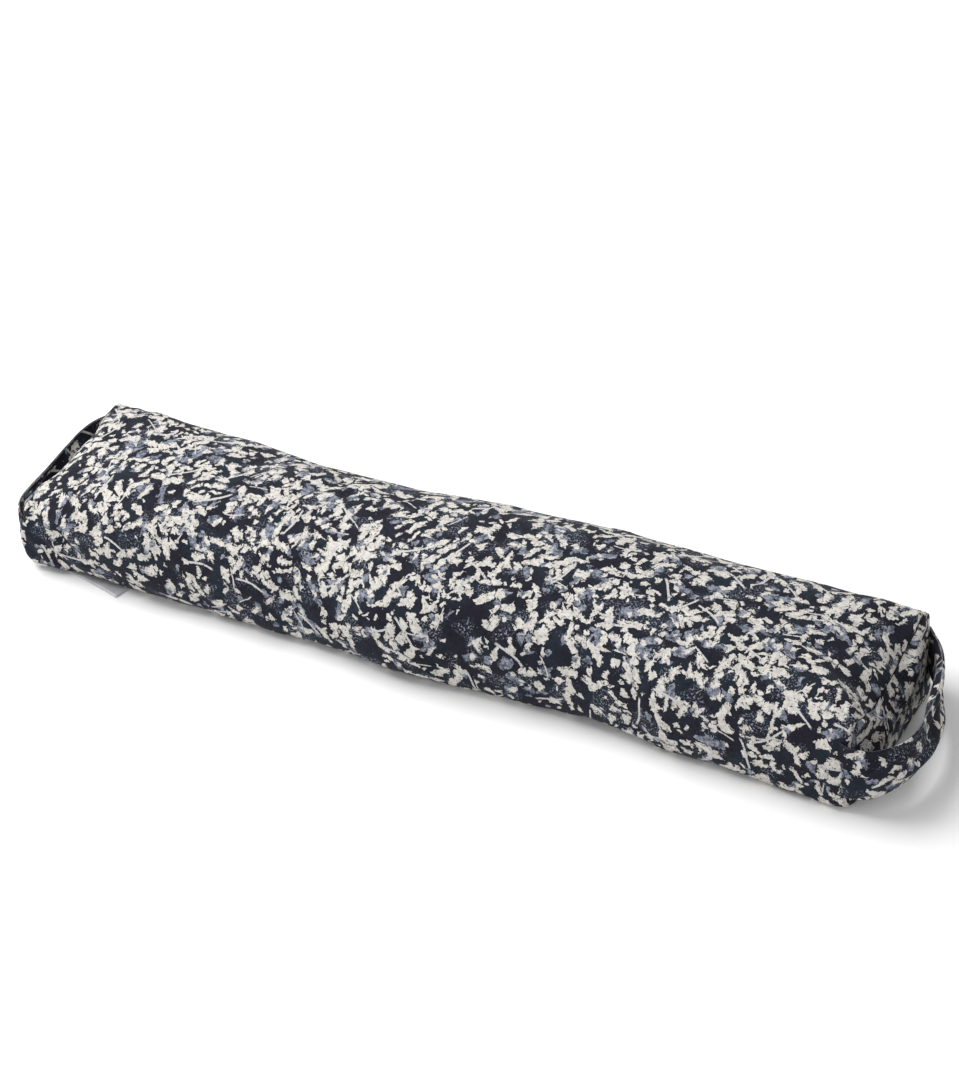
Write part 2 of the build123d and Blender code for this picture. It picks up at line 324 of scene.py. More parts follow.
SECTIONS = np.array([section_ring(share)[0] for share in SHARES])
ring_stops = section_ring(0.0)[1]
RING_STOPS = np.append(ring_stops, 2 * ring_stops[-1] - ring_stops[-2])
FRONT_TOP = RING_STOPS[-1] * FRONT_SHADE_TURN


def sections_at(x, inset):
    """(y, z) of each column, each at its own x, drawn in by inset."""
    place = np.clip(np.abs(x) / FACE_X, 0, 1) * (len(SHARES) - 1.001)
    low = place.astype(int)
    part = (place - low)[:, None]
    column = np.arange(len(x))
    ring = SECTIONS[low, column] * (1 - part) + SECTIONS[low + 1, column] * part
    height = height_at(x / FACE_X)
    y = ring[:, 0] * (1 - inset / HALF_WIDTH)
    z = inset + ring[:, 1] * (1 - 2 * inset / height)
    return np.stack([y, z], 1)


def inward(ring):
    """Unit directions that point into the section, turning softly round its corners."""
    along = np.roll(ring, -1, axis=0) - np.roll(ring, 1, axis=0)
    normal = np.stack([-along[:, 1], along[:, 0]], 1)
    for _ in range(CORNER_PASSES):
        normal = normal / np.linalg.norm(normal, axis=1, keepdims=True)
        normal = (np.roll(normal, 1, axis=0) + 2 * normal + np.roll(normal, -1, axis=0)) / 4
    return normal / np.linalg.norm(normal, axis=1, keepdims=True)


def roll_radii(side):
    """How far each column rolls over into an end: most on top, least at the rear ear."""
    ring = SECTIONS[-1]
    across = np.abs(ring[:, 0]) / HALF_WIDTH
    level = ring[:, 1] / END_HEIGHT
    top = smooth((level - 0.6) / 0.35) * (1 - smooth((across - 0.30) / 0.62))
    base = 1 - smooth(level / 0.25)
    ear = hump(across, 1.0, 0.12) * hump(level, 0.92, 0.22)
    ear_radius = np.where(ring[:, 0] < 0, ROLL_EAR[-1], ROLL_EAR[1])
    radius = ROLL_SIDE + (ROLL_TOP[side] - ROLL_SIDE) * top
    return radius + (ROLL_BASE[side] - ROLL_SIDE) * base + (ear_radius - ROLL_SIDE) * ear


def roll_point(reach, radius, inset, side):
    """Each column's point once it has gone reach past the start of its end stretch."""
    start = FACE_X - ROLL_SPAN
    straight = np.minimum(reach, ROLL_SPAN - radius)
    turn = np.clip((reach - straight) / radius, 0, math.pi / 2)
    x = start + straight + radius * np.sin(turn) - inset
    ring = sections_at(x, inset)
    depth = radius * (1 - np.cos(turn))
    return np.column_stack([side * x, ring + inward(ring) * depth[:, None]])


def wrap_grid(inset=0.0, stations=STATIONS, roll_rows=ROLL_ROWS):
    """The wrap's rings of points, from the left end seam to the right one."""
    start = FACE_X - ROLL_SPAN - inset
    middle = []
    for x in np.linspace(-start, start, stations):
        ring = sections_at(np.full(COLUMNS, x), inset)
        middle.append(np.column_stack([np.full(COLUMNS, x), ring]))
    ends = []
    for side in (-1, 1):
        radius = roll_radii(side)
        reach = ROLL_SPAN - radius + radius * SEAM_TURN
        steps = np.linspace(0, 1, roll_rows + 1)[1:]
        ends.append([roll_point(reach * step, radius, inset, side) for step in steps])
    return np.array(ends[0][::-1] + middle + ends[1])


def end_rings(side, inset=0.0, rows=END_ROWS):
    """An end panel's rings, from its seam to its middle, which stands out the most."""
    radius = roll_radii(side)
    seam = roll_point(ROLL_SPAN - radius + radius * SEAM_TURN, radius, inset, side)
    middle = np.array([side * (FACE_X + END_BULGE - inset), 0, END_HEIGHT * END_MIDDLE])
    rings = []
    for share in np.linspace(1, END_HUB, rows):
        ring = middle + (seam - middle) * share
        ring[:, 0] = middle[0] + (seam[:, 0] - middle[0]) * share**2
        rings.append(ring)
    return np.array(rings)


def uneven(points):
    """What the filling does to the plain shape; the wall with the zip stays straight."""
    x, y, z = np.moveaxis(points, -1, 0)
    front = smooth(0.5 - y / HALF_WIDTH)
    window = 1 - smooth((np.abs(x) - SWAY_HALF) / SWAY_FADE)
    near_zip = smooth((y / HALF_WIDTH - 0.35) / 0.45) * (1 - smooth((z - 0.042) / 0.022))
    belly = hump(x, BELLY_X, BELLY_SPREAD)
    foot = 1 - smooth(z / 0.03)
    moved = points.copy()
    bend = (1 - 1.3 * front * smooth(0.4 - x / 0.10)) * window * (1 - near_zip)
    moved[..., 1] += SWAY * np.sin(math.pi * x / SWAY_LENGTH) * bend
    moved[..., 1] -= BELLY * belly * front
    moved[..., 1] += LABEL_TUCK * hump(x, LABEL_CENTRE.x, 0.050) * foot * smooth(-y / 0.04 - 0.5)
    moved[..., 2] += CREST * (belly + hump(x, CREST_X, 0.12)) * smooth(z / MID_HEIGHT * 2 - 0.8)
    at_left = smooth((-x - FACE_X + TWIST_LENGTH) / TWIST_LENGTH)
    twist = np.where(y > 0, EAR_RISE, EAR_DROP) * np.clip(y / HALF_WIDTH * 1.1, -1, 1)
    moved[..., 2] += twist * at_left * smooth(z / END_HEIGHT)
    for side in (-1, 1):
        near_end = smooth((side * x - FACE_X + LEAN_LENGTH) / LEAN_LENGTH)
        off_loop = smooth((y + 0.07) / 0.05) if side > 0 else 1.0
        lean = END_LEAN[side] * off_loop * (1 - 0.75 * smooth(z / END_HEIGHT))
        moved[..., 0] += side * near_end * lean
    return moved


def zip_window(points):
    """1 on the rear wall round the zip and 0 elsewhere, with a soft border."""
    x, y, z = points.T
    along = 1 - smooth((np.abs(x) - ZIP_HALF - 0.006) / 0.03)
    level = 1 - smooth((np.abs(z - ZIP_Z) - 0.010) / 0.014)
    return along * level * (y > HALF_WIDTH * 0.6)


def loop_folds(points):
    """Folds that fan out over the corner from the place where each loop is sewn in."""
    total = np.zeros(len(points))
    for side in (-1, 1):
        for front in (-1, 1):
            root = np.array([side * (FACE_X - 0.002), front * HALF_WIDTH, LOOP_ROOT_Z])
            away = points - root
            reach = np.linalg.norm(away, axis=1)
            level = away[:, 0] * side - away[:, 1] * front
            angle = np.arctan2(away[:, 2], level)
            turn = angle * FAN_FOLDS + 1.3 * side + front + soft_noise(points, 0.05, 3)
            total += np.sin(turn) * smooth(reach / FAN_START) * np.exp(-reach / FAN_FADE)
    return total


def closed_rings(inset=0.0, end_rows=END_ROWS, **grid):
    """The rings of the whole closed shape, from the left end's middle to the right one's."""
    left, right = [end_rings(side, inset, end_rows) for side in (-1, 1)]
    return np.concatenate([left[:0:-1], wrap_grid(inset, **grid), right[1:]])


def cover_skin():
    """The whole cover as closed rings of points, and how many of them each end takes."""
    rows = closed_rings()
    count = len(rows)
    ends = END_ROWS - 1
    points = uneven(rows.reshape(-1, 3))
    keep = zip_window(points)
    core = np.zeros(points.shape)
    core[:, 0] = np.clip(points[:, 0], -CORE_HALF, CORE_HALF)
    core[:, 2] = CORE_Z
    out = points - core
    out /= np.linalg.norm(out, axis=1, keepdims=True)
    lift = loop_folds(points) * LOOP_FOLD
    lift += sum(soft_noise(points, size, seed) * depth for size, seed, depth in DENTS)
    seam = np.zeros((count, COLUMNS))
    ripple = 0.6 + 0.4 * np.sin(np.arange(COLUMNS) * 2 * math.pi / 4)
    for row in (ends, count - 1 - ends):
        seam[row] = 1
        seam[row - 1] = SEAM_PULL * ripple
        seam[row + 1] = SEAM_PULL * ripple
    seam = seam.ravel()
    lift -= seam * SEAM_SINK
    points = points + out * (lift * (1 - keep))[:, None]
    skin = make_mesh("skin", points, capped_grid(count, COLUMNS))
    on_floor = FLOOR_HOLD * (points[:, 2] < 0.003)
    held = np.maximum(np.maximum(keep, on_floor), (seam > 0.9) * SEAM_HOLD)
    move = settle(skin, frames=24, pressure=3.0, slack=0.015, held=held)
    move = move.reshape(count, COLUMNS, 3)
    bpy.data.objects.remove(skin)
    folds = (move - blurred(move, FOLD_BLUR)).reshape(-1, 3)
    size = np.maximum(np.linalg.norm(folds, axis=1, keepdims=True), 1e-9)
    points += folds / size * FOLD_LIMIT * np.tanh(size * FOLD_GAIN / FOLD_LIMIT)
    label_clear = hump(points[:, 0], LABEL_CENTRE.x, 0.045) * hump(points[:, 1], LABEL_CENTRE.y, 0.04)
    points[:, 2] = np.maximum(points[:, 2], FLOOR_GAP + LABEL_GAP * label_clear)
    return points.reshape(count, COLUMNS, 3), ends


def run_along(rows):
    """Distance along a line near the middle of the top, from the middle ring to each ring."""
    line = rows[:, TOP_COLUMN]
    run = np.concatenate([[0], np.cumsum(np.linalg.norm(np.diff(line, axis=0), axis=1))])
    return run - run[len(run) // 2]


def seam_lip(points, faces, corners, edge, inner, uv_row, flip):
    """Turns the cloth in behind a seam: a short strip from the edge ring to the inner one."""
    start = len(points)
    points += [tuple(p) for p in inner]
    for j in range(COLUMNS):
        quad = [edge[j], edge[(j + 1) % COLUMNS], start + (j + 1) % COLUMNS, start + j]
        faces.append(quad[::-1] if flip else quad)
        corners.append([(uv_row, j), (uv_row, j + 1)] * 2)


SLOT_FOLD = (0.0006, 0.0004)  # beside the zip the cloth sinks and reaches over it by this
SLOT_HEM = (0.0010, -0.0030)  # and its hem lies behind, this far back from the fold
LIP_SHRINK = 0.05  # the cloth behind an end seam draws in by this share
LIP_DEPTH = 0.6  # and goes back by this share of a row
END_PRINT = (0.21, 0.06)  # which part of the print each end panel is cut from
END_PRINT_STRETCH = 1.1


def wrap_piece(name, rows, with_slot=True):
    """A wrap panel from its rings, its edges turned in at both end seams and at the zip."""
    count = len(rows)
    faces, corners = grid_faces(count, COLUMNS, True)
    points = [tuple(p) for p in rows.reshape(-1, 3)]
    run = run_along(rows)
    if with_slot:
        slot = range(REAR_COLUMNS, REAR_COLUMNS + SLOT_COLUMNS)
        open_row = np.abs(rows[:, REAR_COLUMNS, 0]) < ZIP_HALF + 0.001
        first, last = np.nonzero(open_row)[0][[0, -1]]
        kept = [n for n, ring in enumerate(corners)
                if not (ring[0][1] in slot and first <= ring[0][0] < last)]
        faces = [faces[n] for n in kept]
        corners = [corners[n] for n in kept]
        for column, way in ((REAR_COLUMNS, 1), (REAR_COLUMNS + SLOT_COLUMNS, -1)):
            edge = rows[first:last + 1, column]
            start = len(points)
            for sink, reach in (SLOT_FOLD, SLOT_HEM):
                points += [tuple(p) for p in edge + np.array([0, -sink, way * reach])]
            steps = last - first
            for k in range(steps):
                a = (first + k) * COLUMNS + column
                fold = [a, a + COLUMNS, start + k + 1, start + k]
                back = [start + k, start + k + 1, start + steps + k + 2, start + steps + k + 1]
                for quad in (fold, back):
                    faces.append(quad if way > 0 else quad[::-1])
                    corners.append([(first + k, column), (first + k + 1, column)] * 2)
    for row, near, flip in ((0, 1, True), (count - 1, count - 2, False)):
        ring = rows[row]
        inner = ring + (ring.mean(0) - ring) * LIP_SHRINK
        inner[:, 0] = ring[:, 0] + (rows[near][:, 0] - ring[:, 0]) * LIP_DEPTH
        edge = [row * COLUMNS + j for j in range(COLUMNS)]
        seam_lip(points, faces, corners, edge, inner, row, flip)
    corner_uvs = [(run[i], RING_STOPS[j]) for ring in corners for i, j in ring]
    return make_mesh(name, points, faces, corner_uvs)


def end_piece(name, rings, side):
    """An end panel from its seam to its middle."""
    faces, _ = grid_faces(len(rings), COLUMNS, True)
    hub = len(rings) * COLUMNS
    last = hub - COLUMNS
    for j in range(COLUMNS):
        faces.append([last + j, last + (j + 1) % COLUMNS, hub])
    if side < 0:
        faces = [face[::-1] for face in faces]
    points = np.vstack([rings.reshape(-1, 3), rings[-1].mean(0)])
    across = points[:, 1] * side + END_PRINT[0]
    up = points[:, 2] * END_PRINT_STRETCH + END_PRINT[1]
    corner_uvs = [(across[k], up[k]) for face in faces for k in face]
    return make_mesh(name, points, faces, corner_uvs)


# ---- the loops ----
STRAP_HALF_THICK = 0.0019
STRAP_ROWS = 96
STRAP_MARGIN = 0.002  # how far the band's edges pass the CAD band
PINCH_SPREAD = 0.26
CRUMPLE, FINE_CRUMPLE = 0.0042, 0.0018
PUCKER, PUCKER_AT = 0.0007, 0.80  # two puckered ridges along the band, beside its stitched edges
STRAP_SAG = 0.0025
STRAP_TWIST = 0.0012
STRAP_PRINT = {1: 0.3, -1: 0.9}  # which part of the print each loop is cut from
FACE_PRINT = 0.06  # its inner face has negative print heights
TAB_START, TAB_END = 0.016, 0.005  # how far the sewn-in ends lie behind the face of the end
TAB_SINK = 0.0048
TAB_HALF_THICK = 0.0013
TAB_DEPTH = 0.0008  # how far they stay behind the cover
# share of the loop's reach, share of the half width: from the front corner to the rear one
RIGHT_ROUTE = [(-0.42, -0.955), (0.0, -0.996), (0.33, -0.955), (0.62, -0.81), (0.82, -0.62),
               (0.90, -0.39), (0.88, -0.18), (0.80, 0.065), (0.65, 0.365), (0.43, 0.68),
               (0.05, 0.94)]
LEFT_ROUTE = [(0.02, -0.93), (0.38, -0.76), (0.64, -0.48), (0.74, -0.17), (0.68, 0.065), (0.58, 0.27),
              (0.53, 0.48), (0.47, 0.69), (0.34, 0.83), (0.06, 0.95)]


def curve_through(route, count):
    """Evenly spaced points on a smooth curve through a few route points."""
    route = np.asarray(route, float)
    run = np.concatenate([[0], np.cumsum(np.linalg.norm(np.diff(route, axis=0), axis=1))])
    slope = np.gradient(route, run, axis=0)
    t = np.linspace(0, 1, 24, endpoint=False)[:, None]
    dense = []
    for k in range(len(route) - 1):
        span = run[k + 1] - run[k]
        dense.append(
            (2 * t**3 - 3 * t**2 + 1) * route[k] + (t**3 - 2 * t**2 + t) * span * slope[k]
            + (3 * t**2 - 2 * t**3) * route[k + 1] + (t**3 - t**2) * span * slope[k + 1]
        )
    dense = np.vstack(dense + [route[-1:]])
    length = np.concatenate([[0], np.cumsum(np.linalg.norm(np.diff(dense, axis=0), axis=1))])
    even = np.linspace(0, length[-1], count)
    return np.stack([np.interp(even, length, dense[:, k]) for k in range(2)], 1), even


def strap_band(name, side, route, low, high, pinch_at, pinch_depth, climb):
    """A folded band of cloth on edge, crumpled lengthwise where the hand takes it."""
    line, run = curve_through(route, STRAP_ROWS)
    along = np.gradient(line, axis=0)
    along /= np.linalg.norm(along, axis=1, keepdims=True)
    outward = np.stack([along[:, 1], -along[:, 0]], 1) * side
    share = run / run[-1]
    pinch = hump(share, pinch_at, PINCH_SPREAD)
    rise = climb * smooth(share * 1.1)
    low_edge = low - STRAP_MARGIN + rise
    top_edge = high + STRAP_MARGIN - pinch_depth * pinch + rise
    even = np.linspace(-1, 1, 19)
    across = np.sin(even * math.pi / 2) * 0.35 + even * 0.65
    points = []
    uvs = []
    for i in range(STRAP_ROWS):
        middle = (low_edge[i] + top_edge[i]) / 2
        half = (top_edge[i] - low_edge[i]) / 2 * (1 - 0.10 * pinch[i])
        for face, order in ((1, across), (-1, across[-2:0:-1])):
            for w in order:
                belly = STRAP_HALF_THICK * (1 - abs(w) ** 6) ** 0.5
                stitch = PUCKER * hump(abs(w), PUCKER_AT, 0.06)
                fold = pinch[i] * CRUMPLE * math.sin(3.3 * w + 5.0 * share[i] + 0.6)
                fold += pinch[i] * FINE_CRUMPLE * math.sin(8.5 * w - 7.0 * share[i])
                sag = STRAP_SAG * (1 - w * w) * math.sin(math.pi * share[i])
                push = face * (belly - stitch) + fold + sag
                z = middle + half * w + STRAP_TWIST * math.sin(9 * share[i] + 1.5) * w
                points.append((
                    side * (line[i, 0] + side * outward[i, 0] * push),
                    line[i, 1] + side * outward[i, 1] * push,
                    z,
                ))
                uvs.append((run[i] + STRAP_PRINT[side], face * w * half + face * FACE_PRINT))
    columns = 2 * len(across) - 2
    faces = capped_grid(STRAP_ROWS, columns)
    if side < 0:
        faces = [face[::-1] for face in faces]
    return make_mesh(name, points, faces, [uvs[k] for face in faces for k in face])


def inner_faces(strap):
    """1 for each face of a loop on the side that looks at the cushion, which takes the painted shade,
    and 0 for the others.
    """
    mesh = strap.data
    layer = mesh.uv_layers["cloth"].data
    return [int(layer[polygon.loop_start].uv[1] < 0) for polygon in mesh.polygons]


def route_of(node, shares):
    """The route in metres: x away from the middle, y from the front to the rear."""
    low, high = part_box(node)
    near = FACE_X - 0.001
    far = max(abs(low.x), abs(high.x)) - STRAP_HALF_THICK
    half = (high.y - low.y) / 2 - STRAP_HALF_THICK
    return [(near + (far - near) * a, half * b) for a, b in shares]


def sewn_tabs(name, side, low, high, skin):
    """The loop's two ends inside the cushion, behind the corner seams."""
    rows = np.linspace(FACE_X - TAB_START, FACE_X - TAB_END, 7)
    levels = np.linspace(low, high, 9)
    faces = capped_grid(len(rows), 2 * len(levels))
    parts = []
    for front in (-1, 1):
        points = []
        for x in rows:
            wave = 0.0003 * math.sin(x * 900)
            for face in (-1, 1):
                y = front * (HALF_WIDTH - TAB_SINK) + face * TAB_HALF_THICK + wave
                points += [(side * x, y, z) for z in levels[::face]]
        parts.append((behind_skin(points, TAB_DEPTH, skin), faces))
    return joined(name, parts)


# ---- the zip ----
COIL_LEAN = 0.00018  # the tips of the two coils nearly meet
COIL_PITCH = 0.00145
COIL_WIRE = 0.00035  # radius
COIL_STEPS = 10  # points to a turn
COIL_MARGIN = 0.0004
STITCH_PITCH = 0.0032
STITCH_GAP = 0.0007
STITCH_RISE = 0.0007
THREAD_RADIUS = 0.00026


def coil_piece(name, node, towards):
    """A wound zip coil: one flattened turn after another, its tips towards the other coil."""
    low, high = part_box(node)
    turns = int((high.x - low.x) / COIL_PITCH)
    middle = (low + high) / 2
    middle.z += towards * COIL_LEAN
    half_y = (high.y - low.y) / 2 - COIL_WIRE
    half_z = (high.z - low.z) / 2 - COIL_WIRE + COIL_LEAN
    route = []
    for step in range(turns * COIL_STEPS + 1):
        angle = step / COIL_STEPS * 2 * math.pi
        x = low.x + COIL_MARGIN + COIL_PITCH * (step / COIL_STEPS)
        z = middle.z + towards * half_z * math.cos(angle)
        y = middle.y + half_y * math.sin(angle)
        route.append((min(x, high.x - COIL_MARGIN), y, z))
    return make_mesh(name, *tube(route, COIL_WIRE))


def stitch_rows(name, node):
    """The two rows of topstitching beside the zip, one short sunk stitch after another."""
    low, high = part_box(node)
    parts = []
    for z in (low.z + 0.0003, high.z - 0.0003):
        for n in range(int((high.x - low.x) / STITCH_PITCH)):
            x = low.x + 0.0005 + n * STITCH_PITCH
            route = []
            for t in np.linspace(0, 1, 6):
                y = HALF_WIDTH - 0.0003 + STITCH_RISE * math.sin(math.pi * t)
                route.append((x + t * (STITCH_PITCH - STITCH_GAP), y, z))
            parts.append(tube(route, THREAD_RADIUS))
    return joined(name, parts)


# ---- materials ----
class Paint:
    """A node material, with a short word for each kind of node that it uses."""

    def __init__(self, name, roughness, **sockets):
        self.material = bpy.data.materials.new(name)
        self.material.use_nodes = True
        self.tree = self.material.node_tree
        self.shader = self.tree.nodes["Principled BSDF"]
        self.shader.inputs["Roughness"].default_value = roughness
        for socket, value in sockets.items():
            self.shader.inputs[socket.replace("_", " ")].default_value = value

    def add(self, kind, values=None, **settings):
        node = self.tree.nodes.new("ShaderNode" + kind)
        for key, value in settings.items():
            setattr(node, key, value)
        for key, value in (values or {}).items():
            if isinstance(value, bpy.types.NodeSocket):
                self.tree.links.new(value, node.inputs[key])
            elif value is not None:
                node.inputs[key].default_value = value
        return node

    def to_shader(self, socket, value):
        self.tree.links.new(value, self.shader.inputs[socket])

    def math(self, operation, a, b=None, c=None):
        return self.add("Math", {0: a, 1: b, 2: c}, operation=operation).outputs[0]

    def vector(self, operation, a, b=None, scale=None):
        values = {0: a, 1: b, "Scale": scale}
        return self.add("VectorMath", values, operation=operation).outputs[0]

    def noise(self, where, size, detail=2.0, roughness=0.5, colour=False):
        values = {"Vector": where, "Scale": 1 / size, "Detail": detail, "Roughness": roughness}
        return self.add("TexNoise", values).outputs["Color" if colour else 0]

    def cells(self, where, size):
        values = {"Vector": where, "Scale": 1 / size}
        return self.add("TexVoronoi", values, voronoi_dimensions="2D").outputs

    def ramp(self, value, low, high, start=0.0, end=1.0):
        """start below low, end above high, and a smooth turn between."""
        values = {"Value": value, "From Min": low, "From Max": high, "To Min": start, "To Max": end}
        return self.add("MapRange", values, interpolation_type="SMOOTHSTEP").outputs[0]

    def mix(self, share, a, b):
        values = {0: share, 6: a, 7: b}
        return self.add("Mix", values, data_type="RGBA").outputs[2]

    def bump(self, height, distance, strength):
        node = self.add("Bump", {"Height": height, "Distance": distance, "Strength": strength})
        self.to_shader("Normal", node.outputs[0])

    def split(self, vector):
        node = self.add("SeparateXYZ", {0: vector})
        return node.outputs[0], node.outputs[1]

    def place(self):
        return self.add("TexCoord").outputs["Object"]


def weave(paint, where, pitch):
    """Height of a plain weave: threads over and under each other."""
    u, v = paint.split(where)
    turn = 2 * math.pi / pitch
    warp = paint.math("SINE", paint.math("MULTIPLY", u, turn))
    weft = paint.math("SINE", paint.math("MULTIPLY", v, turn))
    return paint.math("MULTIPLY", warp, weft)


def turned(paint, spot, centre, angle):
    """How far spot lies from centre along that angle, and how far aside of it."""
    c = paint.math("COSINE", angle)
    s = paint.math("SINE", angle)
    du, dv = paint.split(paint.vector("SUBTRACT", spot, centre))
    along = paint.math("ADD", paint.math("MULTIPLY", du, c), paint.math("MULTIPLY", dv, s))
    aside = paint.math("SUBTRACT", paint.math("MULTIPLY", dv, c), paint.math("MULTIPLY", du, s))
    return along, aside


STROKES_ALONG, STROKES_ASIDE = 190.0, 780.0  # brush strokes to the metre
FRONT_SHADE_LEAVES = 0.66  # share of the leaves that stay down the front; the rest are left out as painted shade on the front wall


def leaves(paint, where, cell, length, width, spray, spread, fill, shift):
    """A layer of leaves: (mask, random number of the leaf). Each points away from a spray.

    The print thins out a little down the front of the cover: painted shade, which darkens the front
    wall.
    """
    moved = paint.vector("ADD", where, (shift, shift * 0.7, 0.0))
    leaf = paint.cells(moved, cell)
    centre = leaf["Position"]
    bunch = paint.cells(centre, spray)
    chance = paint.add("SeparateColor", {0: leaf["Color"]}).outputs
    ray_u, ray_v = paint.split(paint.vector("SUBTRACT", centre, bunch["Position"]))
    lean = paint.math("ARCTAN2", ray_v, ray_u)
    tilt = paint.math("MULTIPLY", paint.math("SUBTRACT", chance[0], 0.5), spread)
    along, aside = turned(paint, moved, centre, paint.math("ADD", lean, tilt))
    size = paint.math("ADD", paint.math("MULTIPLY", chance[1], 0.7), 0.6)
    a = paint.math("DIVIDE", along, paint.math("MULTIPLY", size, length))
    b = paint.math("DIVIDE", aside, paint.math("MULTIPLY", size, width))
    round_off = paint.math("ADD", paint.math("MULTIPLY", a, a), paint.math("MULTIPLY", b, b))
    brush = paint.add("CombineXYZ", {
        0: paint.math("MULTIPLY", along, STROKES_ALONG),
        1: paint.math("MULTIPLY", aside, STROKES_ASIDE),
        2: paint.math("MULTIPLY", chance[0], 40.0),
    }).outputs[0]
    streak = paint.math("SUBTRACT", paint.noise(brush, 1.0, 1, 0.5), 0.5)
    round_off = paint.math("ADD", round_off, paint.math("MULTIPLY", streak, 3.4))
    body = paint.ramp(round_off, 0.82, 1.0, 1.0, 0.0)
    dense = paint.ramp(paint.noise(centre, 0.030, 1, 0.5), 0.36, 0.60, fill * 0.35, fill)
    _, height = paint.split(centre)
    # painted shade: fewer pale leaves down the front wall, so it reads darker than the top
    turn = FRONT_TOP + shift * 0.7
    front = paint.ramp(height, turn, turn + 0.03, 1.0, FRONT_SHADE_LEAVES)
    dense = paint.math("MULTIPLY", dense, front)
    present = paint.math("LESS_THAN", chance[2], dense)
    return paint.math("MULTIPLY", body, present), chance[1]


def stems(paint, where, cell, length, width, fill, shift):
    """Thin, slightly bent strokes, one at most in each cell."""
    moved = paint.vector("ADD", where, (shift, -shift, 0.0))
    place = paint.cells(moved, cell)
    chance = paint.add("SeparateColor", {0: place["Color"]}).outputs
    angle = paint.math("MULTIPLY", chance[0], math.pi)
    along, aside = turned(paint, moved, place["Position"], angle)
    bend = paint.math("MULTIPLY", paint.math("MULTIPLY", along, along), 9.0)
    off = paint.math("ABSOLUTE", paint.math("SUBTRACT", aside, bend))
    thin = paint.ramp(off, width * 0.7, width, 1.0, 0.0)
    short = paint.ramp(paint.math("ABSOLUTE", along), length * 0.8, length, 1.0, 0.0)
    present = paint.math("LESS_THAN", chance[2], fill)
    return paint.math("MULTIPLY", paint.math("MULTIPLY", thin, short), present)


CREAM = (0.640, 0.618, 0.582, 1)
SAND = (0.475, 0.452, 0.415, 1)
PALE_BLUE = (0.300, 0.315, 0.370, 1)
MID_BLUE = (0.060, 0.074, 0.105, 1)
NAVY = (0.0115, 0.0108, 0.0195, 1)
TEAL = (0.0125, 0.0190, 0.0290, 1)
INK = (0.0065, 0.0062, 0.0100, 1)
STEM = (0.520, 0.510, 0.500, 1)
# cell size, leaf's half length and half width, size of a spray, range of its leaves' turn away
# from its rays in radians, share of the cells with a leaf, shift of the pattern
LEAF_LAYERS = (
    (0.0125, 0.0080, 0.0030, 0.050, 1.1, 0.93, 0.0),
    (0.0090, 0.0052, 0.0025, 0.050, 1.5, 0.62, 0.17),
    (0.0062, 0.0028, 0.0017, 0.040, 2.2, 0.46, 0.71),
)
SHADE_LAYER = (0.0105, 0.0062, 0.0030, 0.045, 1.6, 0.26, 0.31)
# cell size, half length, half width, share of the cells with a stem, shift of the pattern
STEM_LAYERS = ((0.044, 0.014, 0.00100, 0.55, 0.53), (0.030, 0.009, 0.00065, 0.35, 0.91))


